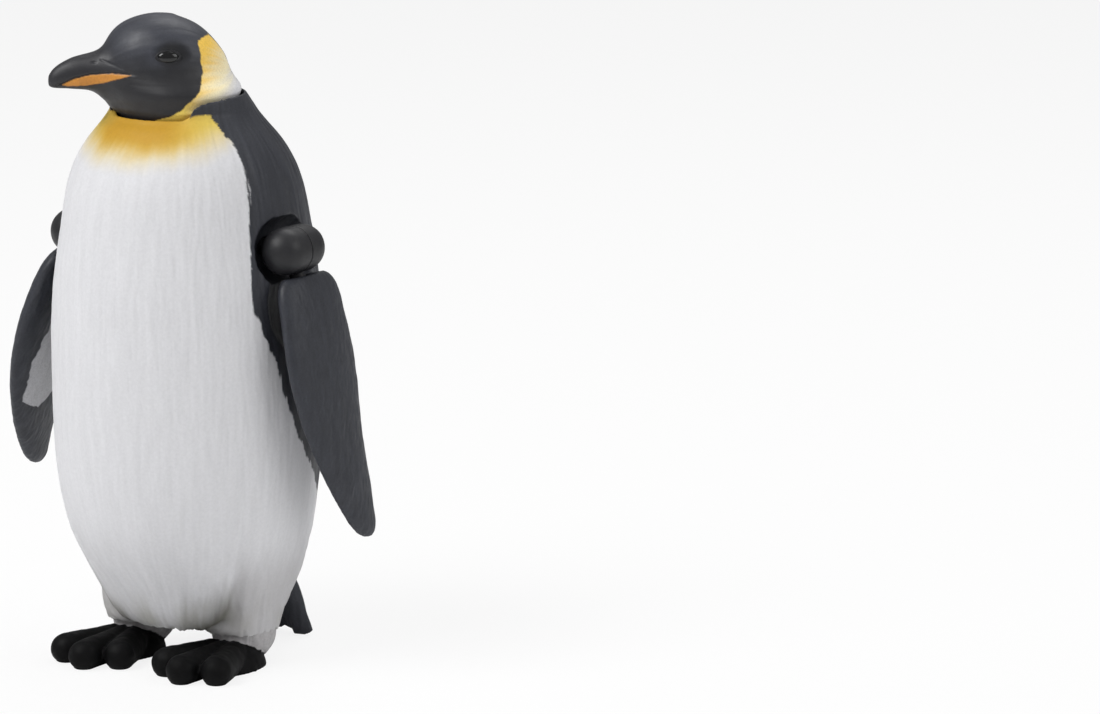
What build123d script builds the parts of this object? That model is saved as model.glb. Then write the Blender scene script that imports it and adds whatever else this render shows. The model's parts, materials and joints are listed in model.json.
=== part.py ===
"""Poseable emperor penguin figure with click joints at neck, shoulders and ankles. Millimetres.

+Z is up and the penguin faces -Y, so its left side is +X. It stands on both feet and its tail tip.
"""
from build123d import *
import math
import os

# Fits
WALL = 2.0
GLUE_GAP = 0.05
RUN_GAP = 0.3
PEG_CLEARANCE = 0.05
PRESS_GAP = 0.01

# Body: height, half width, half depth and middle of each level section, from hem to neck
BODY_SECTIONS = [
    (6.0, 13.4, 12.2, 7.8),
    (7.6, 15.6, 14.2, 7.6),
    (11.6, 17.2, 15.9, 6.9),
    (15.7, 18.7, 17.7, 6.3),
    (21.0, 20.4, 19.8, 5.4),
    (28.0, 21.7, 21.6, 4.8),
    (38.0, 22.5, 23.2, 4.8),
    (52.0, 22.4, 23.9, 4.7),
    (65.0, 21.7, 23.8, 4.7),
    (75.0, 20.0, 22.8, 4.7),
    (82.0, 18.8, 21.2, 4.5),
    (88.0, 16.4, 18.0, 4.3),
    (93.0, 12.7, 13.4, 4.2),
    (98.0, 11.2, 11.5, 3.8),
]
QUARTER = 0.56
HOLLOW_LEVELS = (2, 11)
# Line between the white front and the black back, seen from the side: y and z of each point
BORDER = [
    (-3.4, 112),
    (-3.1, 96),
    (-1.6, 89),
    (-2.6, 80),
    (-4.1, 71.5),
    (-4.7, 63),
    (-1.4, 55),
    (3.0, 43.5),
    (10.9, 32.5),
    (21.0, 21),
]
BORDER_END = (44.0, 18.0)
HALF_SPAN = 60.0

# Click joints: barrel radius, barrel length, peg radius, hinge pin radius
SHOULDER_JOINT = (4.0, 12.8, 1.4, 1.0)
NECK_JOINT = (4.0, 11.6, 1.5, 1.0)
ANKLE_JOINT = (2.4, 7.2, 1.1, 0.6)
HALF_GAP = 0.06
PEG_STAND_OFF = 0.25
PIN_INSET = 1.2

# Neck and head
NECK_Y = 3.0
NECK_INSET = 1.0
NECK_BALL_RADIUS = 10.6
RIM_DROP = 2.6
NECK_PEG = 16.0
HEAD_PEG = 5.5
HEAD_TURN = -45.0
NOD_UP = 55.0
NOD_DOWN = 2.0
SOCKET_WALL = 2.2
# Skull: height above the neck centre, half width, front reach, back reach, middle (forward of the neck)
SKULL_SECTIONS = [
    (-2.3, 10.5, 10.7, 10.5, 0.0),
    (0.0, 10.6, 12.0, 10.7, 0.2),
    (2.0, 9.6, 12.2, 10.3, 0.6),
    (4.0, 8.5, 11.4, 10.1, 1.5),
    (6.0, 8.2, 10.9, 9.9, 2.0),
    (8.0, 7.8, 10.1, 9.0, 2.4),
    (10.0, 6.7, 8.7, 7.6, 2.8),
    (11.8, 4.9, 6.3, 5.4, 3.2),
    (12.8, 2.8, 3.6, 3.2, 3.4),
    (13.2, 1.0, 1.2, 1.2, 3.5),
]
# Beak: forward reach, half width, middle height above the neck centre, reach down, reach up
BEAK_SECTIONS = [
    (7.0, 6.4, 3.4, 4.0, 5.0),
    (11.0, 5.0, 3.4, 3.9, 4.8),
    (14.0, 3.5, 3.4, 3.1, 3.9),
    (17.0, 2.6, 3.3, 2.6, 3.3),
    (20.0, 1.9, 3.0, 2.0, 2.5),
    (22.0, 1.2, 2.5, 1.3, 1.6),
    (22.6, 0.6, 2.2, 0.6, 0.9),
]

# Shoulders and wings
SHOULDER_X = 21.5
SHOULDER_Y = 4.7
SHOULDER_Z = 71.8
POCKET_GAP = 1.6
TORSO_PEG = 8.0
WING_PEG = 8.0
WING_SPREAD = 11.0
RIGHT_WING_LIFT = 12.0
RIGHT_WING_SWING = 6.0
WING_START = 4.45
# Wing: distance below its top, half thickness, reach forward, reach back, outward and backward offsets
WING_SECTIONS = [
    (0.0, 1.6, 4.9, 6.0, 0.8, 0.0),
    (1.2, 2.3, 6.5, 8.2, 0.8, 0.0),
    (6.0, 2.7, 8.1, 9.2, 1.2, 0.1),
    (13.0, 2.6, 9.0, 9.6, 1.4, 0.2),
    (21.0, 2.4, 8.8, 8.9, 1.3, 0.7),
    (29.0, 2.1, 7.4, 7.2, 1.0, 1.9),
    (36.0, 1.9, 5.6, 5.8, 0.7, 3.7),
    (41.5, 1.6, 3.7, 4.2, 0.4, 5.5),
    (44.5, 1.2, 2.2, 2.7, 0.2, 6.8),
    (45.6, 0.5, 0.8, 1.0, 0.1, 7.4),
]
# Hollow in the flank under each shoulder: offset from the shoulder's centre and half sizes
FLANK_HOLLOW_OFFSET = (6.1, 1.2, -7.8)
FLANK_HOLLOW_SIZE = (8.2, 13.0, 12.5)

# Legs and feet
ANKLE_X = 10.3
ANKLE_Y = 5.4
ANKLE_BALL_RADIUS = 5.6
SOLE_FLAT = 0.15
ANKLE_PEG = 6.0
LEG_BACK = 0.6
FOOT_PEG = 4.0
FOOT_PEG_TILT = 35.0
FLEX_DOWN = 80.0
FLEX_UP = 1.0
# Leg: height, half width, half depth
LEG_SECTIONS = [
    (5.25, 6.9, 7.2),
    (8.0, 7.4, 8.4),
    (13.0, 7.3, 8.8),
    (19.0, 5.4, 6.6),
]
TOE_RADIUS = 2.75
TOE_TOP = 4.9
TOE_REACH = (18.6, 20.8, 19.2)
TOE_ANGLES = (-20.0, -1.0, 18.0)
INSTEP_REACH = 5.2
INSTEP_SIZE = (6.0, 8.4, 4.9)

# Tail: share of its length from its root, half width, half thickness; its end is rounded about the root
TAIL_ROOT = (19.0, 25.0)
TAIL_TIP = (26.5, 0.9)
TAIL_SECTIONS = [
    (0.0, 7.4, 6.6),
    (0.35, 7.6, 5.0),
    (0.7, 9.4, 3.1),
    (1.1, 12.8, 1.6),
]

# Directions and joint places worked out from the sizes above
UP = (0, 0, 1)
DOWN = (0, 0, -1)
INWARD = (-1, 0, 0)
FORWARD = (0, -1, 0)
neck_z = BODY_SECTIONS[-1][0] - NECK_INSET
neck = Pos(0, NECK_Y, neck_z)
shoulder = Pos(SHOULDER_X, SHOULDER_Y, SHOULDER_Z)
hollow_out, hollow_back, hollow_up = FLANK_HOLLOW_OFFSET
flank = (SHOULDER_X + hollow_out, SHOULDER_Y + hollow_back, SHOULDER_Z + hollow_up)
ankle_z = ANKLE_BALL_RADIUS - SOLE_FLAT
ankle = Pos(ANKLE_X, ANKLE_Y, ankle_z)
neck_cup_radius = NECK_BALL_RADIUS + RUN_GAP
ankle_cup_radius = ANKLE_BALL_RADIUS + RUN_GAP
rim_z = neck_z - RIM_DROP
hinge_turn = Rot(0, 0, 90)
foot_tilt = math.radians(FOOT_PEG_TILT)
FOOT_PEG_DIRECTION = (0, -math.cos(foot_tilt), -math.sin(foot_tilt))
HINGE_FOOT_PEG_DIRECTION = (-math.cos(foot_tilt), 0, -math.sin(foot_tilt))
wing_spread = math.radians(WING_SPREAD)
WING_DIRECTION = (math.sin(wing_spread), 0, -math.cos(wing_spread))


def oval(plane, half_width, front, back):
    """Closed section of four quarter curves; the plane's y axis points to the back of the section."""
    across = QUARTER * half_width
    edges = [
        Edge.make_bezier((0, -front), (across, -front), (half_width, -QUARTER * front), (half_width, 0)),
        Edge.make_bezier((half_width, 0), (half_width, QUARTER * back), (across, back), (0, back)),
        Edge.make_bezier((0, back), (-across, back), (-half_width, QUARTER * back), (-half_width, 0)),
        Edge.make_bezier((-half_width, 0), (-half_width, -QUARTER * front), (-across, -front), (0, -front)),
    ]
    return plane * Face(Wire(edges))


def level(x, y, z):
    """Horizontal plane through a point."""
    return Plane(origin=(x, y, z))


def rod(start, direction, length, radius):
    """Round bar from a point along a direction."""
    standing = Cylinder(radius, length, align=(Align.CENTER, Align.CENTER, Align.MIN))
    return Plane(origin=start, z_dir=direction) * standing


def egg(middle, half_sizes):
    """Ellipsoid from its middle and its three half sizes."""
    return Pos(*middle) * scale(Sphere(1.0), by=half_sizes)


def barrel(radius, length):
    """Round-ended bar along Y, centred."""
    straight = length - 2 * radius
    bar = Rot(90, 0, 0) * Cylinder(radius, straight)
    return bar + Pos(0, straight / 2, 0) * Sphere(radius) + Pos(0, -straight / 2, 0) * Sphere(radius)


def click_half(joint, side, peg_direction, peg_length, pin_clearance):
    """One half of a click joint, on the +Y or -Y side, with its peg square to the hinge axis Y."""
    radius, length, peg_radius, pin_radius = joint
    room = Pos(0, side * (length / 2 + HALF_GAP / 2), 0) * Box(2 * length, length, 2 * length)
    root = rod((0, 0, 0), peg_direction, radius + PEG_STAND_OFF, peg_radius)
    half = (barrel(radius, length) + root) & room
    foot = Vector(*peg_direction).normalized() * (radius + PEG_STAND_OFF)
    half += rod(foot, peg_direction, peg_length, peg_radius)
    return half - hinge_pin(joint, pin_clearance)


def hinge_pin(joint, clearance=0.0):
    """Pin along the hinge axis, buried in both halves of a click joint."""
    radius, length, peg_radius, pin_radius = joint
    return Rot(90, 0, 0) * Cylinder(pin_radius + clearance, length - 2 * PIN_INSET + 2 * clearance)


def peg_hole(joint, direction, peg_length):
    """Hole for a click joint's peg, seen from the joint's centre."""
    radius, length, peg_radius, pin_radius = joint
    depth = radius + PEG_STAND_OFF + peg_length + RUN_GAP
    return rod((0, 0, 0), direction, depth, peg_radius + PEG_CLEARANCE)


def peg_boss(joint, direction, peg_length):
    """Socket wall around a click joint's peg, seen from the joint's centre."""
    radius, length, peg_radius, pin_radius = joint
    return rod((0, 0, 0), direction, radius + PEG_STAND_OFF + peg_length + WALL, peg_radius + SOCKET_WALL)


def body_loft(sections, inset):
    return loft([
        oval(level(0, middle, z), half_width - inset, half_depth - inset, half_depth - inset)
        for z, half_width, half_depth, middle in sections
    ])


def shoulder_pocket(extra):
    radius, length, peg_radius, pin_radius = SHOULDER_JOINT
    return shoulder * barrel(radius + POCKET_GAP + extra, length + 2 * (POCKET_GAP + extra))


def leg_solid(extra):
    faces = []
    for z, half_width, half_depth in LEG_SECTIONS:
        plane = level(ANKLE_X, ANKLE_Y + LEG_BACK, z)
        faces.append(oval(plane, half_width + extra, half_depth + extra, half_depth + extra))
    return loft(faces)


def tail_solid(extra):
    root = Vector(0, *TAIL_ROOT)
    along = Vector(0, *TAIL_TIP) - root
    faces = []
    for share, half_width, half_thickness in TAIL_SECTIONS:
        plane = Plane(origin=root + along * share, x_dir=(1, 0, 0), z_dir=along)
        faces.append(oval(plane, half_width + extra, half_thickness + extra, half_thickness + extra))
    return loft(faces) & (Pos(*root) * Sphere(along.length + extra))


def back_side(shift):
    """Everything behind the border line, moved forward by a shift."""
    line = Spline(*[(0, y - shift, z) for y, z in BORDER])
    low = (0, BORDER_END[0], BORDER_END[1])
    high = (0, BORDER_END[0], BORDER[0][1])
    outline = Wire([line, Line(line @ 1, low), Line(low, high), Line(high, line @ 0)])
    return Pos(-HALF_SPAN, 0, 0) * extrude(Face(outline), HALF_SPAN * 2, dir=(1, 0, 0))


def make_torso():
    outer = body_loft(BODY_SECTIONS, 0.0)
    low, high = HOLLOW_LEVELS
    torso = outer - body_loft(BODY_SECTIONS[low:high], WALL)
    shoulder_boss = shoulder * peg_boss(SHOULDER_JOINT, INWARD, TORSO_PEG)
    flank_wall = egg(flank, tuple(half + WALL for half in FLANK_HOLLOW_SIZE))
    for wall in (shoulder_pocket(WALL) & outer, shoulder_boss & outer, flank_wall & outer):
        torso = torso + wall + mirror(wall, about=Plane.YZ)
    for wall in (Sphere(neck_cup_radius + WALL), peg_boss(NECK_JOINT, DOWN, NECK_PEG)):
        torso += neck * wall & outer
    shoulder_hole = shoulder * peg_hole(SHOULDER_JOINT, INWARD, TORSO_PEG)
    flank_hollow = egg(flank, FLANK_HOLLOW_SIZE)
    for cut in (shoulder_pocket(0.0), shoulder_hole, flank_hollow, leg_solid(GLUE_GAP)):
        torso = torso - cut - mirror(cut, about=Plane.YZ)
    for cut in (Sphere(neck_cup_radius), peg_hole(NECK_JOINT, DOWN, NECK_PEG)):
        torso -= neck * cut
    torso -= Pos(0, 0, rim_z + HALF_SPAN / 2) * Box(HALF_SPAN, HALF_SPAN, HALF_SPAN)
    torso -= tail_solid(GLUE_GAP)
    front = torso - back_side(GLUE_GAP)
    back = torso & back_side(0.0)
    return front, back


def joint_cavity(joint):
    """Round room in which a click joint's barrel turns freely."""
    radius, length, peg_radius, pin_radius = joint
    return Sphere(length / 2 + RUN_GAP)


def peg_slot(ball_radius, joint, first, last):
    """Slot in a ball for a peg swinging in the plane x = 0; angles are from +Z towards -Y."""
    radius, length, peg_radius, pin_radius = joint
    half = peg_radius + PEG_STAND_OFF
    slab = Sphere(ball_radius + RUN_GAP) & Box(2 * half, HALF_SPAN, HALF_SPAN)
    beside = Pos(0, HALF_SPAN / 2 + half, 0) * Box(HALF_SPAN, HALF_SPAN, 2 * HALF_SPAN)
    before = Rot(first, 0, 0) * beside
    after = Rot(last, 0, 0) * Rot(0, 0, 180) * beside
    return slab - before - after


def make_head():
    skull = loft([
        oval(level(0, -middle, z), half_width, front, back)
        for z, half_width, front, back, middle in SKULL_SECTIONS
    ])
    beak = loft([
        oval(Plane(origin=(0, -reach, z), x_dir=(1, 0, 0), z_dir=(0, -1, 0)), half_width, down, up)
        for reach, half_width, z, down, up in BEAK_SECTIONS
    ])
    ball_top = SKULL_SECTIONS[0][0] + RUN_GAP
    above = Pos(0, 0, ball_top + HALF_SPAN / 2) * Box(HALF_SPAN, HALF_SPAN, HALF_SPAN)
    ball = Sphere(NECK_BALL_RADIUS) - above
    head = skull + beak + ball
    head -= peg_slot(NECK_BALL_RADIUS, NECK_JOINT, 180 - NOD_DOWN, 180 + NOD_UP)
    head -= joint_cavity(NECK_JOINT)
    head -= peg_hole(NECK_JOINT, UP, HEAD_PEG)
    return head


def make_wing():
    """Left wing hanging from the shoulder centre, before it is spread."""
    wing = loft([
        oval(level(out, back_offset, -WING_START - drop), half_thickness, front, back)
        for drop, half_thickness, front, back, out, back_offset in WING_SECTIONS
    ])
    return wing - peg_hole(SHOULDER_JOINT, DOWN, WING_PEG)


def make_foot():
    """Left foot about its ankle centre."""
    behind = Pos(0, HALF_SPAN / 2, 0) * Box(HALF_SPAN, HALF_SPAN, HALF_SPAN)
    instep = egg((0, -INSTEP_REACH, -ankle_z), INSTEP_SIZE)
    foot = Sphere(ANKLE_BALL_RADIUS) + (instep - behind)
    toe_z = TOE_TOP - TOE_RADIUS - ankle_z
    for reach, angle in zip(TOE_REACH, TOE_ANGLES):
        straight = reach - TOE_RADIUS
        toe = rod((0, 0, toe_z), FORWARD, straight, TOE_RADIUS)
        toe += Pos(0, -straight, toe_z) * Sphere(TOE_RADIUS)
        foot += Rot(0, 0, angle) * toe
    foot -= Pos(0, 0, -ankle_z - HALF_SPAN / 2) * Box(2 * HALF_SPAN, 2 * HALF_SPAN, HALF_SPAN)
    foot -= peg_slot(ANKLE_BALL_RADIUS, ANKLE_JOINT, -FLEX_DOWN, FLEX_UP)
    foot -= joint_cavity(ANKLE_JOINT)
    foot -= peg_hole(ANKLE_JOINT, FOOT_PEG_DIRECTION, FOOT_PEG)
    return foot


def make_leg():
    leg = leg_solid(0.0) - ankle * Sphere(ankle_cup_radius)
    return leg - ankle * peg_hole(ANKLE_JOINT, UP, ANKLE_PEG)


def add_click_joint(place, joint, names, pegs):
    """Two halves and the pin of one click joint; the pin is pressed into the first half."""
    first, second, pin = names
    (first_direction, first_length), (second_direction, second_length) = pegs
    nodes[first] = place * click_half(joint, 1, first_direction, first_length, PRESS_GAP)
    nodes[second] = place * click_half(joint, -1, second_direction, second_length, PEG_CLEARANCE)
    nodes[pin] = place * hinge_pin(joint)


nodes = {}
nodes["body_front_shell"], nodes["body_back_shell"] = make_torso()
nodes["tail"] = tail_solid(0.0) - Pos(0, 0, -HALF_SPAN / 2) * Box(HALF_SPAN, 2 * HALF_SPAN, HALF_SPAN)
nodes["head"] = neck * Rot(0, 0, HEAD_TURN) * make_head()
add_click_joint(
    neck * Rot(0, 0, HEAD_TURN) * hinge_turn,
    NECK_JOINT,
    ("neck_lower_half", "neck_upper_half", "neck_pin"),
    ((DOWN, NECK_PEG), (UP, HEAD_PEG)),
)
nodes["leg_left"] = make_leg()
nodes["foot_left"] = ankle * make_foot()
nodes["wing_left"] = shoulder * Rot(0, -WING_SPREAD, 0) * make_wing()
add_click_joint(
    shoulder,
    SHOULDER_JOINT,
    ("shoulder_inner_half_left", "shoulder_outer_half_left", "shoulder_pin_left"),
    ((INWARD, TORSO_PEG), (WING_DIRECTION, WING_PEG)),
)
add_click_joint(
    ankle * hinge_turn,
    ANKLE_JOINT,
    ("ankle_upper_half_left", "ankle_lower_half_left", "ankle_pin_left"),
    ((UP, ANKLE_PEG), (HINGE_FOOT_PEG_DIRECTION, FOOT_PEG)),
)
for name in [name for name in nodes if name.endswith("_left")]:
    nodes[name.replace("_left", "_right")] = mirror(nodes[name], about=Plane.YZ)

# The right wing is held further out and further back than the left one.
right_shoulder = Pos(-SHOULDER_X, SHOULDER_Y, SHOULDER_Z)
lift = right_shoulder * Rot(0, RIGHT_WING_LIFT, 0) * right_shoulder.inverse()
swing = right_shoulder * Rot(RIGHT_WING_SWING, 0, 0) * right_shoulder.inverse()
for name in ("wing_right", "shoulder_outer_half_right"):
    nodes[name] = swing * lift * nodes[name]
for name in ("shoulder_inner_half_right", "shoulder_pin_right"):
    nodes[name] = swing * nodes[name]

# The origin is under the middle of the whole figure.
middle = Compound(list(nodes.values())).bounding_box().center()
to_origin = Pos(-middle.X, -middle.Y, 0)

os.makedirs("parts", exist_ok=True)
for name, shape in nodes.items():
    export_step(to_origin * shape, f"parts/{name}.step")
print("middle at", middle.X, middle.Y)
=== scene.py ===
"""Looks of a poseable emperor penguin figure: feathered skins, painted markings, glossy eyes, studio.

The skins are finely remeshed copies of the CAD pieces. Their feather grooves are real vertex moves and
their markings are a painted colour attribute, both worked out from each point's place on the bird.
Lengths are millimetres in the functions and metres on the finished meshes.
"""
import json
import math

import bmesh
import bpy
import numpy as np
from mathutils import Matrix, Vector
from mathutils.bvhtree import BVHTree


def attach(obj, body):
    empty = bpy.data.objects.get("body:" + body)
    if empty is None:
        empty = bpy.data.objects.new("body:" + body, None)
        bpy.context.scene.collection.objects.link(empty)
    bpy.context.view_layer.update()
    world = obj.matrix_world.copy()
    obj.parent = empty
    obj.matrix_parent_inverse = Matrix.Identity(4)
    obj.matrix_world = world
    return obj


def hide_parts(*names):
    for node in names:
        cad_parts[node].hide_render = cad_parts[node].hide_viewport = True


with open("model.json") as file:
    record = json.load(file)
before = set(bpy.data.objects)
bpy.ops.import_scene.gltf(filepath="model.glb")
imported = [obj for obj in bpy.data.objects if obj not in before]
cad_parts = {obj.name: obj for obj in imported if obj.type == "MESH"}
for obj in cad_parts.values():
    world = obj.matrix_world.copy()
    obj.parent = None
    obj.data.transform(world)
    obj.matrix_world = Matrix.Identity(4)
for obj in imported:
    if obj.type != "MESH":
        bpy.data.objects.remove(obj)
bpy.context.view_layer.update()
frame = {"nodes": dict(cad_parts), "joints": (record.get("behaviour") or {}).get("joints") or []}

MM = 1000.0
SIDES = {"left": 1, "right": -1}
joint_place = {j["name"]: np.array(j["pos_m"]) * MM for j in frame["joints"]}
NECK = joint_place["neck_turn"]
SHOULDER = {side: joint_place[f"shoulder_swing_{side}"] for side in SIDES}
ANKLE = {side: joint_place[f"ankle_turn_{side}"] for side in SIDES}
BODY_Y = SHOULDER["left"][1]

# Pose of the turned pieces at rest
HEAD_TURN = math.radians(-45)
WING_SPREAD = {"left": math.radians(11), "right": math.radians(23)}
WING_SWING = {"left": 0.0, "right": math.radians(6)}

# Remesh sizes
BODY_VOXEL = 0.33
HEAD_VOXEL = 0.19
WING_VOXEL = 0.17
FOOT_VOXEL = 0.19
TAIL_VOXEL = 0.2
JOINT_VOXEL = 0.13

# The collar that the black back lays round the head's base: angle from the front, height, inner radius
COLLAR_ANGLES = (44, 47, 54, 66, 80, 113, 140, 180)
COLLAR_TOPS = (94.6, 95.5, 96.2, 96.6, 96.8, 96.9, 97.0, 97.2)
COLLAR_INNER = (11.3, 11.2, 11.1, 11.0, 10.95, 10.85, 10.8, 10.8)
COLLAR_LIP = 0.4
COLLAR_ROUNDING = 0.15
COLLAR_FOOT, COLLAR_SEAT = 92.0, 94.1
COLLAR_STEPS = 180
RAY_START = 30
SEAM_REACH = 2.5
STRAND_RADIUS = 22
# The fold between the belly and each leg: height, angle from the front
FOLD_HEIGHTS = (5.5, 7.0, 8.2, 10.4, 14.6, 19.3, 24.0)
FOLD_ANGLES = (42, 55, 59, 61, 60, 58, 55)
FOLD_DEPTH = 0.95
FOLD_BELLY_WIDTH, FOLD_LEG_WIDTH = 0.8, 1.9
# Turn of the lower belly's feather locks, radians for each millimetre of height
LOCK_LEAN = 0.018


def srgb(red, green, blue):
    """Linear colour from screen values of 0 to 255."""
    c = np.array((red, green, blue)) / 255
    return np.where(c < 0.04045, c / 12.92, ((c + 0.055) / 1.055) ** 2.4)


WHITE = srgb(226, 226, 229)
LOW_GREEN_GREY = srgb(150, 148, 134)
FOLD_SHADE = srgb(88, 86, 74)
SHADED_LEG_WHITE = srgb(176, 174, 175)
BLACK = srgb(48, 50, 57)
MASK_BLACK = srgb(36, 36, 39)
CROWN_HIGHLIGHT = srgb(56, 58, 66)
BEAK_BLACK = srgb(40, 40, 44)
HOLLOW_SHADE = srgb(20, 20, 22)
FOOT_BLACK = srgb(6, 6, 7)
JOINT_BLACK = srgb(33, 33, 36)
DEEP_GOLD = srgb(198, 150, 42)
GOLD = srgb(228, 200, 94)
EAR_ORANGE = srgb(246, 202, 84)
EAR_CREAM = srgb(252, 240, 200)
BEAK_ORANGE = srgb(208, 140, 56)
UNDERWING = srgb(186, 186, 189)


def smooth(low, high, values):
    """Soft step from 0 at low to 1 at high."""
    t = np.clip((values - low) / (high - low), 0, 1)
    return t * t * (3 - 2 * t)


def mix(first, second, share):
    share = np.asarray(share)[:, None]
    return first * (1 - share) + second * share


def lattice(cells, seed):
    """Repeatable value from -1 to 1 for each whole-number cell."""
    x, y, z = cells.astype(np.int64).T
    n = (x * 374761393 + y * 668265263 + z * 1440662683 + seed * 97409) & 0xFFFFFFFF
    n = ((n ^ (n >> 13)) * 1274126177) & 0xFFFFFFFF
    return ((n ^ (n >> 16)) & 0xFFFF) / 32767.5 - 1


def noise(points, seed=0):
    """Smooth noise from -1 to 1, with features one unit apart."""
    cells = np.floor(points)
    t = points - cells
    t = t * t * (3 - 2 * t)
    total = np.zeros(len(points))
    for corner in np.ndindex(2, 2, 2):
        weight = np.prod(np.where(corner, t, 1 - t), axis=1)
        total += weight * lattice(cells + corner, seed)
    return total


def strands(points, seed=0):
    """Feather strands along the third coordinate: -1 in a groove, 1 on a ridge."""
    drift = noise(points * (0.3, 0.3, 0.7), seed + 1)
    bent = points + drift[:, None] * (0.9, 0.9, 0)
    coarse = noise(bent, seed + 2)
    fine = noise(bent * (2.1, 2.1, 1.6), seed + 3)
    return np.clip(1.1 * (0.62 * coarse + 0.38 * fine), -1, 1)


def around(across_x, across_y, along, radius, width, length):
    """Strand space around an axis: strands of a given width and length at a given radius."""
    angle = np.arctan2(across_x, across_y)
    return np.column_stack((np.cos(angle) * radius / width, np.sin(angle) * radius / width, along / length))


def body_place(co):
    """Left of the body's middle, behind its axis, height."""
    return co[:, 0] - NECK[0], co[:, 1] - BODY_Y, co[:, 2]


def head_place(co):
    """Left of the head's middle, forward of the neck, height above the neck's centre."""
    x, y, z = (co - NECK).T
    left = x * math.cos(HEAD_TURN) + y * math.sin(HEAD_TURN)
    forward = x * math.sin(HEAD_TURN) - y * math.cos(HEAD_TURN)
    return left, forward, z


def wing_place(co, side):
    """Outward from the wing's middle plane, behind the shoulder, distance down the wing."""
    x, y, height = (co - SHOULDER[side]).T
    swing, tilt = WING_SWING[side], WING_SPREAD[side]
    back = y * math.cos(swing) + height * math.sin(swing)
    z = height * math.cos(swing) - y * math.sin(swing)
    outward = x * SIDES[side]
    out = outward * math.cos(tilt) + z * math.sin(tilt)
    down = outward * math.sin(tilt) - z * math.cos(tilt)
    return out, back, down


def skin_mesh(nodes, extra, voxel, smoothing):
    """One even mesh of some CAD nodes and an extra form, in millimetres."""
    bm = bmesh.new()
    for node in nodes:
        bm.from_mesh(frame["nodes"][node].data)
    bm.transform(Matrix.Scale(MM, 4))
    bmesh.ops.remove_doubles(bm, verts=bm.verts, dist=1e-4)
    if extra:
        extra(bm)
    mesh = bpy.data.meshes.new("work")
    bm.to_mesh(mesh)
    bm.free()
    work = bpy.data.objects.new("work", mesh)
    bpy.context.scene.collection.objects.link(work)
    remesh = work.modifiers.new("remesh", "REMESH")
    remesh.mode = "VOXEL"
    remesh.voxel_size = voxel
    soften = work.modifiers.new("soften", "SMOOTH")
    soften.factor = 0.5
    soften.iterations = smoothing
    evaluated = work.evaluated_get(bpy.context.evaluated_depsgraph_get())
    result = bpy.data.meshes.new_from_object(evaluated)
    bpy.data.objects.remove(work)
    bpy.data.meshes.remove(mesh)
    return result


def points_and_normals(mesh):
    co = np.empty(len(mesh.vertices) * 3)
    mesh.vertices.foreach_get("co", co)
    normals = np.empty(len(mesh.vertices) * 3)
    mesh.vertices.foreach_get("normal", normals)
    return co.reshape(-1, 3), normals.reshape(-1, 3)


def drop_points(mesh, unwanted):
    bm = bmesh.new()
    bm.from_mesh(mesh)
    bm.verts.ensure_lookup_table()
    bmesh.ops.delete(bm, geom=[bm.verts[i] for i in np.flatnonzero(unwanted)], context="VERTS")
    bm.to_mesh(mesh)
    bm.free()


def relax(mesh, share, rounds):
    """Evens out the surface where share is above 0."""
    ends = np.empty(len(mesh.edges) * 2, np.int64)
    mesh.edges.foreach_get("vertices", ends)
    first, second = ends.reshape(-1, 2).T
    co = points_and_normals(mesh)[0]
    count = len(co)
    around_each = np.bincount(first, minlength=count) + np.bincount(second, minlength=count)
    pull = (0.6 * share(co) / np.maximum(around_each, 1))[:, None]
    for _ in range(rounds):
        total = np.column_stack([
            np.bincount(first, co[second, axis], count) + np.bincount(second, co[first, axis], count)
            for axis in range(3)
        ])
        co = co + pull * (total - co * around_each[:, None])
    mesh.vertices.foreach_set("co", co.ravel())
    mesh.update()


def skin_of(nodes, voxel, shape, paint, **more):
    """Mesh of some CAD nodes: shape gives each point's new place and paint its colour.

    More can hold smoothing rounds, extra geometry, what is hidden and can go, and (share, rounds) to relax.
    """
    mesh = skin_mesh(nodes, more.get("extra"), voxel, more.get("smoothing", 2))
    if "hidden" in more:
        drop_points(mesh, more["hidden"](*points_and_normals(mesh)))
    if "relaxed" in more:
        relax(mesh, *more["relaxed"])
    co, normals = points_and_normals(mesh)
    moved = shape(co, normals)
    colours = np.ones((len(co), 4), np.float32)
    colours[:, :3] = paint(co, normals)
    attribute = mesh.attributes.new("paint", "FLOAT_COLOR", "POINT")
    attribute.data.foreach_set("color", colours.ravel())
    mesh.vertices.foreach_set("co", (moved / MM).ravel())
    mesh.polygons.foreach_set("use_smooth", np.ones(len(mesh.polygons), bool))
    mesh.update()
    return mesh


def add_piece(name, mesh, nodes, body, material):
    """Puts a mesh into the scene in place of some CAD nodes."""
    mesh.materials.clear()
    mesh.materials.append(material)
    piece = bpy.data.objects.new(name, mesh)
    bpy.context.scene.collection.objects.link(piece)
    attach(piece, body)
    if nodes:
        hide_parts(*nodes)
    return piece


def keep_faces(mesh, wanted):
    """Copy of a mesh with some of its faces."""
    bm = bmesh.new()
    bm.from_mesh(mesh)
    bm.faces.ensure_lookup_table()
    bmesh.ops.delete(bm, geom=[bm.faces[i] for i in np.flatnonzero(~wanted)], context="FACES")
    kept = bpy.data.meshes.new("kept")
    bm.to_mesh(kept)
    bm.free()
    return kept


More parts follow.
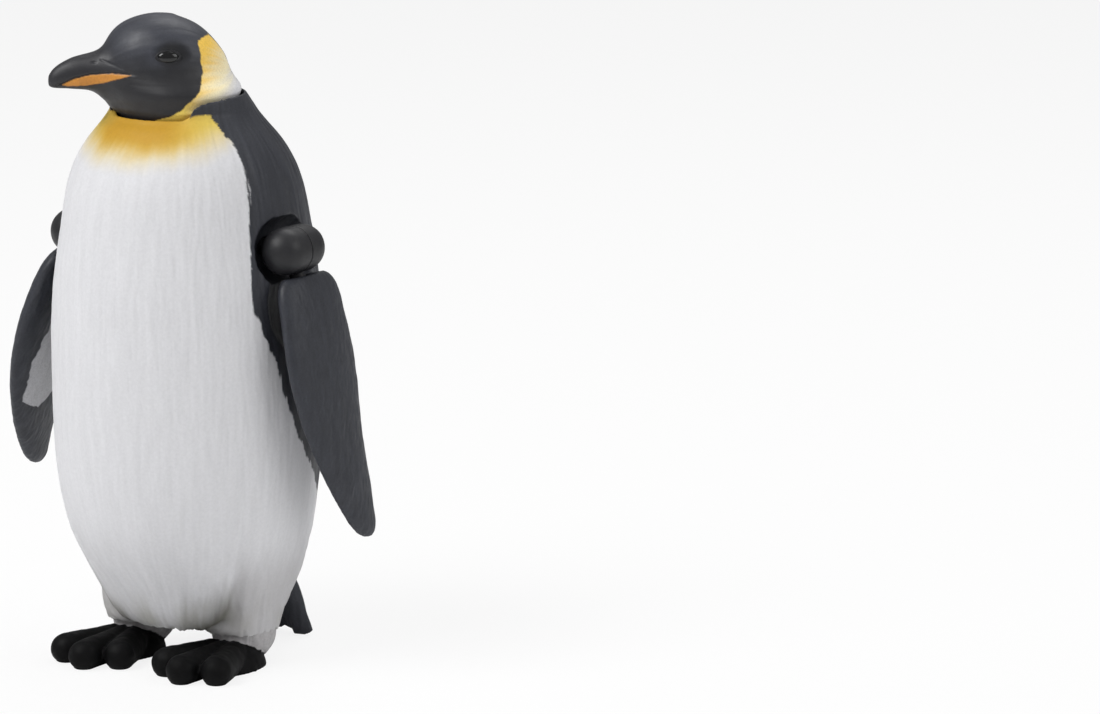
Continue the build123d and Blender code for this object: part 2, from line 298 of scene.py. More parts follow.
def surface_material(name, roughness, grain_size, grain_depth, mottle, specular, paint=None):
    """Painted or plain plastic with a fine mottled grain; grain sizes are millimetres."""
    material = bpy.data.materials.new(name)
    material.use_nodes = True
    nodes, links = material.node_tree.nodes, material.node_tree.links
    shader = nodes["Principled BSDF"]
    shader.inputs["Specular IOR Level"].default_value = specular
    place = nodes.new("ShaderNodeTexCoord")

    def grain(size, detail):
        texture = nodes.new("ShaderNodeTexNoise")
        texture.inputs["Scale"].default_value = MM / size
        texture.inputs["Detail"].default_value = detail
        links.new(place.outputs["Object"], texture.inputs["Vector"])
        return texture

    def ranged(texture, low, high):
        node = nodes.new("ShaderNodeMapRange")
        node.inputs["From Min"].default_value = 0.3
        node.inputs["From Max"].default_value = 0.7
        node.inputs["To Min"].default_value = low
        node.inputs["To Max"].default_value = high
        links.new(texture.outputs["Fac"], node.inputs["Value"])
        return node

    speckle = ranged(grain(grain_size, 3), 1 - mottle, 1 + mottle)
    tint = nodes.new("ShaderNodeVectorMath")
    tint.operation = "SCALE"
    links.new(speckle.outputs["Result"], tint.inputs["Scale"])
    if paint is None:
        colour = nodes.new("ShaderNodeAttribute")
        colour.attribute_name = "paint"
        links.new(colour.outputs["Color"], tint.inputs[0])
    else:
        tint.inputs[0].default_value = paint
    links.new(tint.outputs["Vector"], shader.inputs["Base Color"])
    rough = ranged(grain(grain_size * 6, 4), roughness - 0.07, roughness + 0.07)
    links.new(rough.outputs["Result"], shader.inputs["Roughness"])
    bump = nodes.new("ShaderNodeBump")
    bump.inputs["Strength"].default_value = 0.5
    bump.inputs["Distance"].default_value = grain_depth / MM
    links.new(grain(grain_size * 1.5, 4).outputs["Fac"], bump.inputs["Height"])
    links.new(bump.outputs["Normal"], shader.inputs["Normal"])
    return material


# Body

def node_surface(name):
    mesh = frame["nodes"][name].data
    return BVHTree.FromPolygons([v.co * MM for v in mesh.vertices], [p.vertices for p in mesh.polygons])


front_shell = node_surface("body_front_shell")
back_shell = node_surface("body_back_shell")


def distances(surface, co, limit):
    found = (surface.find_nearest(point, limit)[3] for point in co)
    return np.array([limit if distance is None else distance for distance in found])


def behind_border(co):
    """Millimetres behind the line between the white front and the black back, as far as SEAM_REACH."""
    to_front = distances(front_shell, co, SEAM_REACH)
    to_back = distances(back_shell, co, SEAM_REACH)
    behind = np.where(to_back < SEAM_REACH, to_front - to_back, -SEAM_REACH)
    return np.where(co[:, 2] > COLLAR_SEAT + 0.35, SEAM_REACH, behind)


def shell_reach(angle, height):
    """How far the torso's outer face lies from the neck's axis."""
    outward = Vector((math.sin(angle), -math.cos(angle), 0))
    middle = Vector((NECK[0], NECK[1], height))
    start = middle + outward * RAY_START
    hits = (shell.ray_cast(start, -outward)[3] for shell in (front_shell, back_shell))
    return RAY_START - min(hit for hit in hits if hit is not None)


def add_collar(bm):
    """Ring round the head's base that carries the torso's slope on up to a thin lip."""
    rings = []
    for degrees in np.linspace(COLLAR_ANGLES[0], 360 - COLLAR_ANGLES[0], COLLAR_STEPS):
        from_front = min(degrees, 360 - degrees)
        top = np.interp(from_front, COLLAR_ANGLES, COLLAR_TOPS)
        inner = np.interp(from_front, COLLAR_ANGLES, COLLAR_INNER)
        angle = math.radians(degrees)
        seat = shell_reach(angle, COLLAR_SEAT)
        outer = inner + COLLAR_LIP
        shoulder = top - COLLAR_ROUNDING
        profile = (
            (inner, COLLAR_FOOT), (inner, shoulder), (inner + COLLAR_ROUNDING, top), (outer, shoulder),
            (max(seat, outer), COLLAR_SEAT), (seat - 0.1, COLLAR_FOOT),
        )
        rings.append([
            bm.verts.new((NECK[0] + r * math.sin(angle), NECK[1] - r * math.cos(angle), z))
            for r, z in profile
        ])
    for ring, following in zip(rings, rings[1:]):
        for k in range(len(ring)):
            j = (k + 1) % len(ring)
            bm.faces.new((ring[k], following[k], following[j], ring[j]))
    bm.faces.new(rings[0])
    bm.faces.new(reversed(rings[-1]))


def body_strands(co, width, length, seed):
    left, back, z = body_place(co)
    return strands(around(left, -back, z, STRAND_RADIUS, width, length), seed)


def hem_rise(co):
    """How far the ragged lower edges of belly and trousers are raised at each point."""
    across = co * (1, 1, 0)
    teeth = noise(across / 1.0, 41) + 0.5 * noise(across / 0.5, 42)
    return np.clip(teeth, 0, 1.2) * 0.6 * smooth(8.0, 5.6, co[:, 2])


def past_fold(co):
    """Millimetres from the fold between belly and leg, below 0 on the belly."""
    left, back, z = body_place(co)
    angle = np.degrees(np.arctan2(np.abs(left), -back)) - np.interp(z, FOLD_HEIGHTS, FOLD_ANGLES)
    return np.radians(angle) * np.hypot(left, back)


def fold_depth(co, normals):
    """How far the outer face sinks into the fold."""
    past = past_fold(co)
    width = np.where(past < 0, FOLD_BELLY_WIDTH, FOLD_LEG_WIDTH)
    left, back, z = body_place(co)
    facing_out = smooth(0.1, 0.5, (normals[:, 0] * left + normals[:, 1] * back) / np.hypot(left, back))
    between = smooth(20.5, 13, z) * smooth(5.0, 7.5, z)
    return FOLD_DEPTH * np.exp(-(past / width) ** 2) * between * facing_out


def locks(co):
    """Leaning feather locks of the lower belly."""
    left, back, z = body_place(co)
    lean = LOCK_LEAN * z
    across = left * np.cos(lean) - back * np.sin(lean)
    behind = left * np.sin(lean) + back * np.cos(lean)
    return strands(around(across, -behind, z, STRAND_RADIUS, 1.5, 5.0), 18)


def low_down(co):
    """1 round the trousers, whose forms flow into the belly."""
    return smooth(22, 16, co[:, 2]) * smooth(6.5, 9.0, co[:, 2])


def torso_shape(co, normals):
    z = co[:, 2]
    rough = 0.17 + 0.2 * smooth(24, 9, z) + 0.16 * smooth(-0.6, 0.6, behind_border(co))
    groove = rough * (0.5 - 0.5 * body_strands(co, 1.2, 9.0, 11))
    groove += 0.13 * (0.5 - 0.5 * body_strands(co, 0.62, 3.6, 17))
    groove += 0.34 * smooth(30, 14, z) * (0.5 - 0.5 * locks(co))
    groove += fold_depth(co, normals)
    moved = co - normals * (groove * smooth(96.0, 91.5, z))[:, None]
    moved[:, 2] += hem_rise(co)
    return slim_rim(taper_trousers(moved))


def slim_rim(co):
    """Slopes the throat's rim in to meet the head, which leaves no ledge, and lowers it under the chin."""
    across = co[:, :2] - NECK[:2]
    reach = np.linalg.norm(across, axis=1)
    angle = np.degrees(np.arctan2(across[:, 0], -across[:, 1]))
    under_chin = smooth(50, 36, angle) * smooth(-50, -36, angle)
    limit = 10.95 + 0.8 * np.maximum(94.5 - co[:, 2], 0) + 3.0 * (1 - under_chin)
    slimmer = np.maximum(reach - limit, 0) * smooth(86, 91, co[:, 2])
    moved = co.copy()
    moved[:, :2] -= across * (slimmer / np.maximum(reach, 0.1))[:, None]
    moved[:, 2] -= 0.95 * smooth(91.5, 94.4, co[:, 2]) * smooth(94.9, 94.5, co[:, 2]) * under_chin
    return moved


def taper_trousers(co):
    """Draws each leg in towards the ankle."""
    moved = co.copy()
    for side in SIDES:
        across = co[:, :2] - ANKLE[side][:2]
        reach = np.linalg.norm(across, axis=1)
        outside = smooth(-1.0, 2.5, across[:, 0] * SIDES[side] + across[:, 1])
        near = smooth(3.0, 5.5, reach) * smooth(12.0, 9.5, reach)
        moved[:, :2] -= across * (0.17 * smooth(14.5, 5.5, co[:, 2]) * near * outside)[:, None]
    return moved


def front_paint(co):
    left, back, z = body_place(co)
    angle = np.abs(np.degrees(np.arctan2(left, -back)))
    streak = body_strands(co, 1.0, 6.0, 13)
    height = z + 0.3 * streak + 0.4 * noise(co / 3.0, 19) - 2.8 * (angle / 60) ** 2
    colours = np.broadcast_to(WHITE, co.shape)
    colours = colours * (0.97 + 0.045 * body_strands(co, 0.7, 7.0, 14))[:, None]
    # painted shade in the grooves between the lower belly's feather locks
    colours = colours * (1 - 0.09 * smooth(30, 14, z) * (0.5 - 0.5 * locks(co)))[:, None]
    colours = mix(colours, GOLD, smooth(84.8, 91.0, height))
    colours = mix(colours, DEEP_GOLD, 0.95 * smooth(87.2, 91.2, height) * smooth(58, 18, angle))
    # greenish grey laid in patches over the lowest part of the belly, strongest near the hem
    low_grey = smooth(14.5, 7.0, z + 1.5 * streak) * smooth(-0.5, 0.6, noise(co / 4.0, 15) - 0.2 * streak)
    colours = mix(colours, LOW_GREEN_GREY, 0.55 * low_grey)
    past = past_fold(co)
    # painted shade: the legs' white is greyed past the fold and low down, on the side turned from the key
    # lamp
    colours = mix(colours, SHADED_LEG_WHITE, 0.6 * smooth(-1.0, 1.5, past) * smooth(24, 13, z))
    # painted shade in the fold between belly and leg, darkest on the belly's side and low down
    shade = np.exp(-((past + 0.7) / np.where(past < -0.7, 2.6, 1.3)) ** 2)
    return mix(colours, FOLD_SHADE, 0.88 * shade * smooth(17.5, 8.5, z + streak))


def torso_paint(co, normals):
    left, back, z = body_place(co)
    tips = noise(around(left, -back, z, STRAND_RADIUS, 0.6, 4.0), 31)
    tips += 0.5 * noise(around(left, -back, z, STRAND_RADIUS, 0.3, 2.5), 32)
    # painted shade and highlight: the black is darker in the strand grooves and lighter on their ridges
    black = np.broadcast_to(BLACK, co.shape) * (1 + 0.3 * body_strands(co, 1.2, 9.0, 11))[:, None]
    return mix(front_paint(co), black, smooth(-0.12, 0.12, behind_border(co) + 0.5 * tips))


def inside_body(co, normals):
    """Points shut in by the torso's walls, which nothing shows."""
    outward = co * (1, 1, 0) - (NECK[0], BODY_Y, 0)
    outward /= np.linalg.norm(outward, axis=1)[:, None]
    starts = co + 0.3 * outward
    hidden = (co[:, 2] > 7.5) & (np.linalg.norm(co - NECK, axis=1) > 12.5)
    for side in SIDES:
        hidden &= np.linalg.norm(co - SHOULDER[side], axis=1) > 9.5
        hidden &= np.linalg.norm(co - ANKLE[side], axis=1) > 7.0
    for i in np.flatnonzero(hidden):
        hits = (shell.ray_cast(starts[i], outward[i])[0] for shell in (front_shell, back_shell))
        hidden[i] = any(hit is not None for hit in hits)
    return hidden


# Head

EYE_FORWARD, EYE_UP = 3.0, 6.7
EYE_HALF = (1.75, 1.05)
EYE_BULGE, EYE_SUNK = 0.7, 0.15
LID_RADIUS, LID_HEIGHT, LID_RAISED = 0.26, 0.2, 0.16
LID_STEPS, LID_ROUND = 72, 16
GAPE_FORWARD = (6, 8.9, 12, 15.3, 18.4, 20.2, 23)
GAPE_UP = (3.7, 3.85, 3.95, 3.65, 2.95, 2.0, 1.4)
LOWER_FORWARD = (8.9, 11.0, 13.0, 16.0, 19.5, 20.4)
LOWER_UP = (3.7, 2.95, 2.15, 1.6, 1.5, 1.7)
MASK_HEIGHTS = (-4, -3.2, -2.6, -1.5, -0.3, 0.8, 2.2, 3.9, 6.5, 12)
MASK_EDGES = (7.0, 5.2, 2.9, 0.9, -0.4, -1.4, -2.4, -2.8, -2.6, -2.3)
EAR_TOP, EAR_TOP_SLOPE = 9.0, 0.25
# Keel under the beak: forward, up and radius of its lower and upper ends
CHIN_LOW = (8.4, 0.5, 4.25)
CHIN_HIGH = (13.4, 2.9, 2.6)
BEAK_SHORTER = 0.75


def head_strands(co, width, length, seed):
    left, forward, up = head_place(co)
    reach = np.degrees(np.arctan2(np.hypot(left, up - 3.5), forward + 2))
    return strands(around(left, up - 3.5, reach / 9, 8, width, length), seed)


def add_chin(bm):
    """Rounded keel from the lower bill down to the throat."""
    for share in np.linspace(0, 1, 14):
        forward, up, radius = (a + (b - a) * share for a, b in zip(CHIN_LOW, CHIN_HIGH))
        x = NECK[0] + forward * math.sin(HEAD_TURN)
        y = NECK[1] - forward * math.cos(HEAD_TURN)
        place = Matrix.Translation((x, y, NECK[2] + up))
        bmesh.ops.create_icosphere(bm, subdivisions=4, radius=radius, matrix=place)


def around_beak(co):
    """1 where the beak, the forehead and the chin flow into each other."""
    left, forward, up = head_place(co)
    return smooth(3.5, 8.0, forward) * smooth(18.5, 14.0, forward) * smooth(-3.6, -2.2, up)


def eye_hollow(forward, up):
    """Below 1 in the sunk hollow round each eye, which runs up and back from it and is darkened with
    painted shade.
    """
    return np.hypot((forward - EYE_FORWARD + 0.7) / 3.6, (up - EYE_UP - 0.5) / 2.3)


def head_shape(co, normals):
    left, forward, up = head_place(co)
    plumage = smooth(15, 10, forward) * smooth(-1.8, 0.5, up)
    depth = 0.07 * (0.5 - 0.5 * head_strands(co, 0.8, 5.0, 21)) * plumage
    depth += 0.42 * smooth(1.0, 0.3, eye_hollow(forward, up))
    brow = np.hypot((forward - EYE_FORWARD - 0.2) / 2.6, up - EYE_UP - 1.75)
    depth -= 0.16 * smooth(0.9, 0.1, brow)
    wedge = np.abs(up - 4.1 - 0.42 * (forward - 8.9)) + 4 * np.maximum(np.abs(forward - 11.2) - 2.3, 0)
    depth += 0.1 * smooth(0.35, 0.0, wedge)
    gape = np.abs(up - np.interp(forward, GAPE_FORWARD, GAPE_UP))
    depth += 0.24 * smooth(0.32, 0.0, gape) * smooth(8.0, 9.5, forward) * smooth(21.6, 20.6, forward)
    nostril = np.hypot((forward - 14.6) / 2.4, up - 5.6)
    depth += 0.14 * smooth(0.34, 0.0, nostril)
    moved = co - normals * (depth + 0.05)[:, None]
    skirt = smooth(-1.2, -2.2, up) * smooth(9.3, 10.0, np.hypot(left, forward))
    moved[:, 2] -= 0.3 * skirt
    shorter = BEAK_SHORTER * smooth(13.0, 22.6, forward)
    return moved - shorter[:, None] * (math.sin(HEAD_TURN), -math.cos(HEAD_TURN), 0)


def head_paint(co, normals):
    left, forward, up = head_place(co)
    fleck = head_strands(co, 0.7, 4.0, 22)
    blotch = noise(co / 2.2, 27)
    # painted highlight: the head's black turns lighter and bluer towards the forehead and crown
    colours = mix(np.broadcast_to(MASK_BLACK, co.shape), CROWN_HIGHLIGHT, smooth(3.0, 8.5, up + blotch))
    # painted shade darkens the sunk hollow round each eye
    colours = mix(colours, HOLLOW_SHADE, 0.85 * smooth(1.15, 0.5, eye_hollow(forward, up) + 0.1 * blotch))
    colours = colours * (1 + 0.16 * fleck)[:, None]
    beak = smooth(10.5, 13.5, forward)
    colours = mix(colours, BEAK_BLACK, beak)
    wavy = 0.32 * noise(co / 1.3, 23) + 0.1 * noise(co / 0.4, 24)
    behind_mask = np.interp(up, MASK_HEIGHTS, MASK_EDGES) - forward + wavy
    nape = np.abs(left) - np.interp(up, (-4, 0, 6, 11), (1.4, 1.4, 1.6, 2.2)) + wavy
    under_top = EAR_TOP + EAR_TOP_SLOPE * (MASK_EDGES[-1] - forward) - up + wavy
    ear = smooth(-0.1, 0.1, np.minimum(np.minimum(behind_mask, nape), under_top))
    paling = 0.55 * (10.6 - up) / 11 + 0.55 * (-forward - 2.0) / 7.5 + 0.1 * fleck
    patch = mix(np.broadcast_to(EAR_ORANGE, co.shape), EAR_CREAM, smooth(0.25, 0.75, paling))
    patch = mix(patch, WHITE, smooth(0.66, 1.0, paling))
    patch = mix(patch, GOLD, smooth(-2.0, 1.5, forward) * smooth(1.0, -1.5, up))
    colours = mix(colours, patch, ear)
    upper = np.interp(forward, GAPE_FORWARD, GAPE_UP) - 0.14 - up
    lower = up - np.interp(forward, LOWER_FORWARD, LOWER_UP)
    plate = np.minimum(np.minimum(upper, lower), np.minimum(forward - 8.9, 20.4 - forward))
    plate += 0.06 * noise(co / 0.6, 25)
    orange = np.broadcast_to(BEAK_ORANGE, co.shape) * (1 + 0.1 * noise(co / 0.9, 26))[:, None]
    # painted shade along the gape's groove, at the orange plate's upper edge
    colours = mix(colours, HOLLOW_SHADE, smooth(0.45, 0.1, np.abs(upper)) * smooth(8.6, 9.6, forward))
    return mix(colours, orange, smooth(-0.06, 0.1, plate))


# Wings, feet, tail

HEEL_FRONT, HEEL_TOP, HEEL_SLOPE = -5.6, 4.8, 1.9
TAIL_DROOP, TAIL_LOWEST, TAIL_ROOT_WIDER = 2.6, 0.3, 1.4
PATCH_DOWNS = (11, 16, 25, 34, 38)
PATCH_FRONTS = (3.0, -2.4, -4.6, -3.6, 4.5)


def wing_shape_of(side):
    def shape(co, normals):
        out, back, down = wing_place(co, side)
        grain = strands(np.column_stack((out / 1.2, back / 0.75, down / 3.2)), 61)
        fine = strands(np.column_stack((out / 1.2, (back + 0.35 * down) / 0.5, down / 1.8)), 64)
        depth = 0.12 * (0.5 - 0.5 * grain) + 0.1 * (0.5 - 0.5 * fine)
        return co - normals * depth[:, None]
    return shape


def wing_paint_of(side):
    def paint(co, normals):
        out, back, down = wing_place(co, side)
        grain = strands(np.column_stack((out / 1.2, back / 0.6, down / 3.0)), 62)
        colours = np.broadcast_to(BLACK, co.shape) * (1 + 0.22 * grain)[:, None]
        inward = np.array((-SIDES[side] * math.cos(WING_SPREAD[side]), 0, -math.sin(WING_SPREAD[side])))
        facing_in = normals @ inward
        wavy = 0.35 * noise(co / 0.9, 63)
        patch = back - np.interp(down, PATCH_DOWNS, PATCH_FRONTS)
        patch = np.minimum(patch, 36 - down - 0.7 * (back - 1)) + wavy
        patch = smooth(-0.15, 0.15, patch) * smooth(0.25, 0.5, facing_in) * smooth(12, 16, down)
        pale = np.broadcast_to(UNDERWING, co.shape) * (1 + 0.08 * grain)[:, None]
        return mix(colours, pale, patch)
    return paint


def heel_of(side):
    def heel(co):
        """Positive on the heel, which wears the trousers' white feathers."""
        x, y, z = (co - ANKLE[side]).T
        tips = noise(np.column_stack((x, y, z * 0.3)) / 0.8, 84) + 0.5 * noise(co / 0.4, 85)
        return y - HEEL_FRONT - HEEL_SLOPE * (HEEL_TOP - co[:, 2]) + 0.45 * tips
    return heel


def foot_shape_of(side):
    heel = heel_of(side)

    def shape(co, normals):
        pads = noise(co / 1.6, 81) + 0.5 * noise(co / 0.8, 82)
        grooves = 0.5 - 0.5 * strands(co / (0.8, 0.8, 4.0), 86)
        depth = np.where(heel(co) > 0, 0.04 + 0.25 * grooves, 0.1 + 0.07 * pads)
        moved = co - normals * depth[:, None]
        moved[:, 2] = np.where(co[:, 2] < 0.15, co[:, 2], moved[:, 2])
        return moved
    return shape


def foot_paint_of(side):
    heel = heel_of(side)

    def paint(co, normals):
        black = np.broadcast_to(FOOT_BLACK, co.shape) * (1 + 0.2 * noise(co / 1.1, 83))[:, None]
        grooves = strands(co / (0.8, 0.8, 4.0), 86)
        # the heel's white carries the legs' painted shade, and painted shade darkens it a little in its
        # grooves
        white = np.broadcast_to(SHADED_LEG_WHITE, co.shape) * (1.08 + 0.05 * grooves)[:, None]
        return mix(black, white, smooth(-0.1, 0.1, heel(co)))
    return paint


def tail_strands(co, seed):
    left, back, z = body_place(co)
    return strands(np.column_stack((left / 1.15, z / 9, back / 9)), seed)


def tail_shape(co, normals):
    depth = 0.55 * (0.5 - 0.5 * tail_strands(co, 91))
    moved = co - normals * depth[:, None]
    teeth = noise(np.column_stack((co[:, 0] / 1.3, np.zeros(len(co)), np.zeros(len(co)))), 92)
    moved[:, 2] += np.clip(teeth + 0.2, 0, 1) * 0.8 * smooth(7.0, 1.5, co[:, 2])
    left, back, z = body_place(co)
    outer = np.abs(left)
    moved[:, 2] -= TAIL_DROOP * smooth(4, 10, outer) * smooth(9.0, 3.0, z)
    moved[:, 2] = np.maximum(moved[:, 2], TAIL_LOWEST)
    near_body = smooth(19.0, 16.5, back) * smooth(4.5, 7.0, outer)
    near_body *= smooth(4.0, 7.5, z) * smooth(19, 15, z)
    moved[:, 0] += np.sign(left) * TAIL_ROOT_WIDER * near_body
    return moved


def tail_paint(co, normals):
    # painted shade and highlight: the fan is darker in its grooves and lighter on its ridges
    return np.broadcast_to(BLACK, co.shape) * (0.9 + 0.28 * tail_strands(co, 91))[:, None]


def joint_shape(co, normals):
    return co - normals * (0.02 + 0.02 * noise(co / 1.2, 95))[:, None]


def joint_paint(co, normals):
    return np.broadcast_to(JOINT_BLACK, co.shape) * (1 + 0.12 * noise(co / 0.9, 96))[:, None]


# Eyes

def add_mesh(name, bm, body, material):
    mesh = bpy.data.meshes.new(name)
    bm.to_mesh(mesh)
    bm.free()
    mesh.polygons.foreach_set("use_smooth", np.ones(len(mesh.polygons), bool))
    return add_piece(name, mesh, (), body, material)


def add_eye(side, surface, eye_material, lid_material):
    """Almond eyeball set into the head with a lid round it."""
    forward_axis = Vector((math.sin(HEAD_TURN), -math.cos(HEAD_TURN), 0))
    left_axis = Vector((math.cos(HEAD_TURN), math.sin(HEAD_TURN), 0))
    middle = Vector(NECK) + forward_axis * EYE_FORWARD + Vector((0, 0, EYE_UP))
    start = middle + left_axis * SIDES[side] * 20
    spot, normal = surface.ray_cast(start / MM, -left_axis * SIDES[side])[:2]
    along = (forward_axis - normal * forward_axis.dot(normal)).normalized()
    turn = Matrix((along, normal.cross(along), normal)).transposed().to_4x4()
    seat = Matrix.Translation(spot - normal * EYE_SUNK / MM) @ turn
    ball = bmesh.new()
    bmesh.ops.create_uvsphere(ball, u_segments=48, v_segments=32, radius=1)
    half_long, half_high = EYE_HALF
    ball.transform(seat @ Matrix.Diagonal((half_long / MM, half_high / MM, EYE_BULGE / MM, 1)))
    add_mesh(f"eye_{side}", ball, "head", eye_material)
    lid = lid_ring(half_long, half_high)
    lid.transform(seat)
    add_mesh(f"eyelid_{side}", lid, "head", lid_material)


def lid_ring(half_long, half_high):
    """Closed ring round an almond eye, in metres, that faces along z."""
    lid = bmesh.new()
    for i in range(LID_STEPS):
        angle = 2 * math.pi * i / LID_STEPS
        wave = 1 + 0.12 * math.cos(2 * angle)
        for k in range(LID_ROUND):
            tube = 2 * math.pi * k / LID_ROUND
            reach = LID_RADIUS * math.cos(tube)
            x = (half_long * wave + reach) * math.cos(angle)
            y = (half_high + reach) * math.sin(angle)
            lid.verts.new((x / MM, y / MM, (LID_RAISED + LID_HEIGHT * math.sin(tube)) / MM))
    lid.verts.ensure_lookup_table()
    for i in range(LID_STEPS):
        for k in range(LID_ROUND):
            j, m = (i + 1) % LID_STEPS, (k + 1) % LID_ROUND
            corners = ((i, k), (j, k), (j, m), (i, m))
            lid.faces.new([lid.verts[a * LID_ROUND + b] for a, b in corners])
    return lid


# Assembly

white_material = surface_material("white_plumage", 0.6, 0.5, 0.03, 0.03, 0.3)
black_material = surface_material("black_plumage", 0.52, 0.35, 0.05, 0.13, 0.42)
head_material = surface_material("head_paint", 0.46, 0.3, 0.03, 0.09, 0.45)
foot_material = surface_material("foot_black", 0.6, 0.5, 0.05, 0.1, 0.14)
joint_material = surface_material("joint_black", 0.48, 0.4, 0.02, 0.1, 0.4)
eye_material = surface_material("eye_gloss", 0.12, 0.5, 0.002, 0.05, 0.6, srgb(12, 12, 13))
lid_material = surface_material("eyelid", 0.5, 0.3, 0.03, 0.1, 0.4, srgb(30, 30, 33))
pin_material = surface_material("pin_black", 0.45, 0.4, 0.02, 0.1, 0.4, JOINT_BLACK)
# Summed paint below which a point of the trunk belongs to the black back
DARK_SUM = 0.4


def add_torso():
    """One unbroken skin for the trunk and legs, shared out between the white belly and the black back."""
    front_nodes = ("body_front_shell", "leg_left", "leg_right")
    mesh = skin_of(
        (*front_nodes, "body_back_shell"), BODY_VOXEL, torso_shape, torso_paint,
        hidden=inside_body, extra=add_collar, relaxed=(low_down, 25),
    )
    paint = np.empty(len(mesh.vertices) * 4, np.float32)
    mesh.attributes["paint"].data.foreach_get("color", paint)
    dark = paint.reshape(-1, 4)[:, :3].sum(axis=1) < DARK_SUM
    corners = np.empty(len(mesh.loops), np.int64)
    mesh.loops.foreach_get("vertex_index", corners)
    starts = np.empty(len(mesh.polygons), np.int64)
    mesh.polygons.foreach_get("loop_start", starts)
    on_back = np.add.reduceat(dark[corners].astype(int), starts) > 1
    belly = keep_faces(mesh, ~on_back)
    back = keep_faces(mesh, on_back)
    add_piece("belly", belly, front_nodes, "torso", white_material)
    add_piece("back", back, ("body_back_shell",), "torso", black_material)


def add_skin(name, node, body, slot, material, voxel, shape, paint, **more):
    return add_piece(name, skin_of((node,), voxel, shape, paint, **more), (node,), body, material)


add_torso()
add_skin("tail_fan", "tail", "torso", "black_plumage", black_material, TAIL_VOXEL, tail_shape, tail_paint)
head_skin = add_skin(
    "head_skin", "head", "head", "head_paint", head_material,
    HEAD_VOXEL, head_shape, head_paint, extra=add_chin, relaxed=(around_beak, 160),
)
head_surface = BVHTree.FromObject(head_skin, bpy.context.evaluated_depsgraph_get())
for side in SIDES:
    add_skin(
        f"flipper_{side}", f"wing_{side}", f"wing_{side}", "black_plumage", black_material,
        WING_VOXEL, wing_shape_of(side), wing_paint_of(side),
    )
    add_skin(
        f"webbed_foot_{side}", f"foot_{side}", f"foot_{side}", "foot_black", foot_material,
        FOOT_VOXEL, foot_shape_of(side), foot_paint_of(side), smoothing=8,
    )
    for half, body in (("inner", "shoulder"), ("outer", "wing_arm")):
        add_skin(
            f"shoulder_{half}_{side}", f"shoulder_{half}_half_{side}", f"{body}_{side}", "joint_black",
            joint_material, JOINT_VOXEL, joint_shape, joint_paint, smoothing=8,
        )
    add_eye(side, head_surface, eye_material, lid_material)
for node in frame["nodes"].values():
    if not node.hide_render:
        node.data.materials.clear()
        node.data.materials.append(pin_material)


# Studio

PHOTO_WIDTH, PHOTO_HEIGHT = 1100, 714
PIXELS_PER_MM = 5.92
CAMERA_DISTANCE = 900.0
VIEW_AZIMUTH, VIEW_ELEVATION = math.radians(35), math.radians(10.8)
AIM_HEIGHT = 53.0
FIGURE_PIXEL = (188, 343.5)
SENSOR_MM = 36.0
FLOOR_SIZE, FLOOR_GREY, FLOOR_GLOW = 6, 0.9, 0.85
WORLD_LIGHT, WORLD_SEEN = 0.3, 1.0
LAMP_AIM_HEIGHT = 0.055
# Azimuth and elevation in degrees, distance and size in metres, watts
LAMPS = {
    "key": (-25, 50, 0.7, 0.4, 3.4),
    "fill": (100, 30, 0.8, 0.5, 1.5),
    "back": (190, 60, 0.8, 0.5, 2.0),
}


def toward_view(azimuth, elevation):
    """Direction from the figure to a viewer; angles in radians."""
    level = math.cos(elevation)
    return Vector((math.sin(azimuth) * level, -math.cos(azimuth) * level, math.sin(elevation)))


def add_floor():
    floor_mesh = bmesh.new()
    bmesh.ops.create_grid(floor_mesh, x_segments=1, y_segments=1, size=FLOOR_SIZE)
    mesh = bpy.data.meshes.new("floor")
    floor_mesh.to_mesh(mesh)
    floor_mesh.free()
    floor = bpy.data.objects.new("floor", mesh)
    bpy.context.scene.collection.objects.link(floor)
    paper = bpy.data.materials.new("paper")
    paper.use_nodes = True
    nodes, links = paper.node_tree.nodes, paper.node_tree.links
    shader = nodes["Principled BSDF"]
    shader.inputs["Base Color"].default_value = (FLOOR_GREY, FLOOR_GREY, FLOOR_GREY, 1)
    shader.inputs["Roughness"].default_value = 0.9
    shader.inputs["Specular IOR Level"].default_value = 0.0
    glow = nodes.new("ShaderNodeEmission")
    blend = nodes.new("ShaderNodeMixShader")
    share = nodes.new("ShaderNodeMapRange")
    share.inputs["To Max"].default_value = FLOOR_GLOW
    links.new(nodes.new("ShaderNodeLightPath").outputs["Is Camera Ray"], share.inputs["Value"])
    links.new(share.outputs["Result"], blend.inputs["Fac"])
    links.new(shader.outputs["BSDF"], blend.inputs[1])
    links.new(glow.outputs["Emission"], blend.inputs[2])
    links.new(blend.outputs["Shader"], nodes["Material Output"].inputs["Surface"])
    mesh.materials.append(paper)


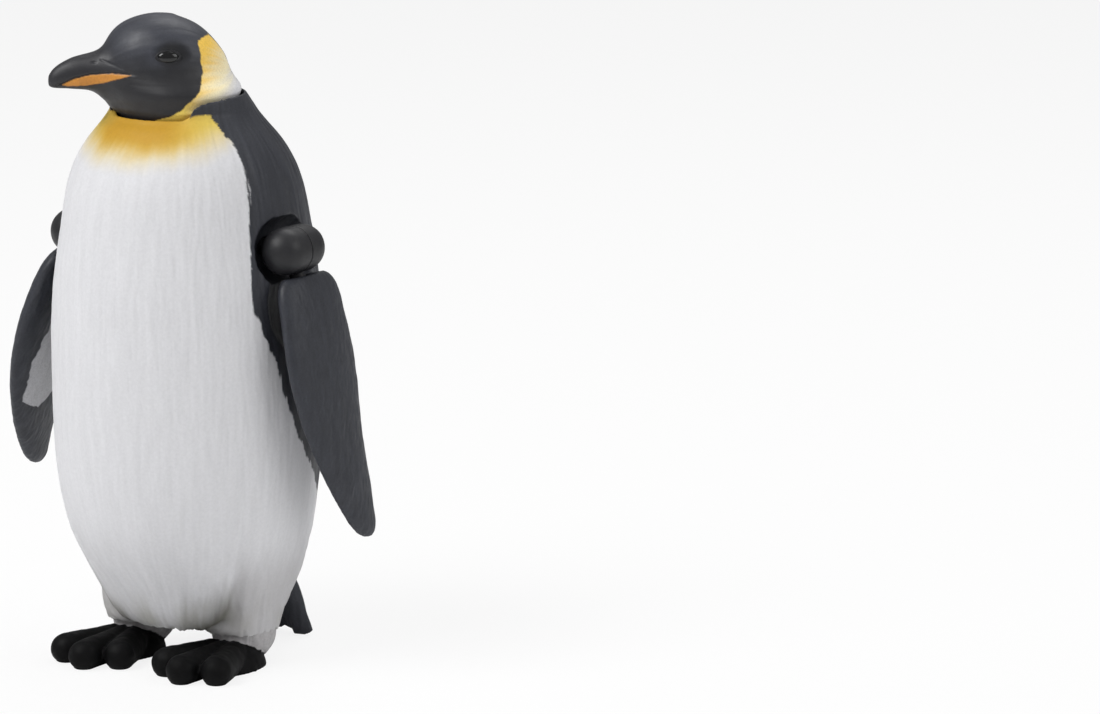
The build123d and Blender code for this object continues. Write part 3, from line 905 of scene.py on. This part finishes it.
def add_world():
    world = bpy.data.worlds.new("studio")
    bpy.context.scene.world = world
    world.use_nodes = True
    nodes, links = world.node_tree.nodes, world.node_tree.links
    light_path = nodes.new("ShaderNodeLightPath")
    seen = nodes.new("ShaderNodeMapRange")
    seen.inputs["To Min"].default_value = WORLD_LIGHT
    seen.inputs["To Max"].default_value = WORLD_SEEN
    links.new(light_path.outputs["Is Camera Ray"], seen.inputs["Value"])
    links.new(seen.outputs["Result"], nodes["Background"].inputs["Strength"])
    nodes["Background"].inputs["Color"].default_value = (1, 1, 1, 1)


def add_lamp(name, azimuth, elevation, distance, size, power):
    lamp = bpy.data.lights.new(name, "AREA")
    lamp.size = size
    lamp.energy = power
    holder = bpy.data.objects.new(name, lamp)
    bpy.context.scene.collection.objects.link(holder)
    toward = toward_view(math.radians(azimuth), math.radians(elevation))
    holder.location = toward * distance + Vector((0, 0, LAMP_AIM_HEIGHT))
    holder.rotation_euler = toward.to_track_quat("Z", "Y").to_euler()


def add_camera():
    """Camera at the photograph's place."""
    data = bpy.data.cameras.new("camera")
    data.sensor_width = SENSOR_MM
    data.lens = SENSOR_MM * CAMERA_DISTANCE * PIXELS_PER_MM / PHOTO_WIDTH
    data.clip_start = 0.05
    camera = bpy.data.objects.new("camera", data)
    bpy.context.scene.collection.objects.link(camera)
    toward = toward_view(VIEW_AZIMUTH, VIEW_ELEVATION)
    right = Vector((math.cos(VIEW_AZIMUTH), math.sin(VIEW_AZIMUTH), 0))
    above = toward.cross(right)
    middle = Vector((NECK[0], BODY_Y, AIM_HEIGHT))
    place = middle + toward * CAMERA_DISTANCE
    aside = (PHOTO_WIDTH / 2 - FIGURE_PIXEL[0]) / PIXELS_PER_MM
    lower = (PHOTO_HEIGHT / 2 - FIGURE_PIXEL[1]) / PIXELS_PER_MM
    aim = middle + right * aside - above * lower
    camera.location = place / MM
    camera.rotation_euler = (place - aim).to_track_quat("Z", "Y").to_euler()
    bpy.context.scene.camera = camera


add_floor()
add_world()
for lamp_name, setting in LAMPS.items():
    add_lamp(lamp_name, *setting)
add_camera()
bpy.context.scene.view_settings.view_transform = "Standard"
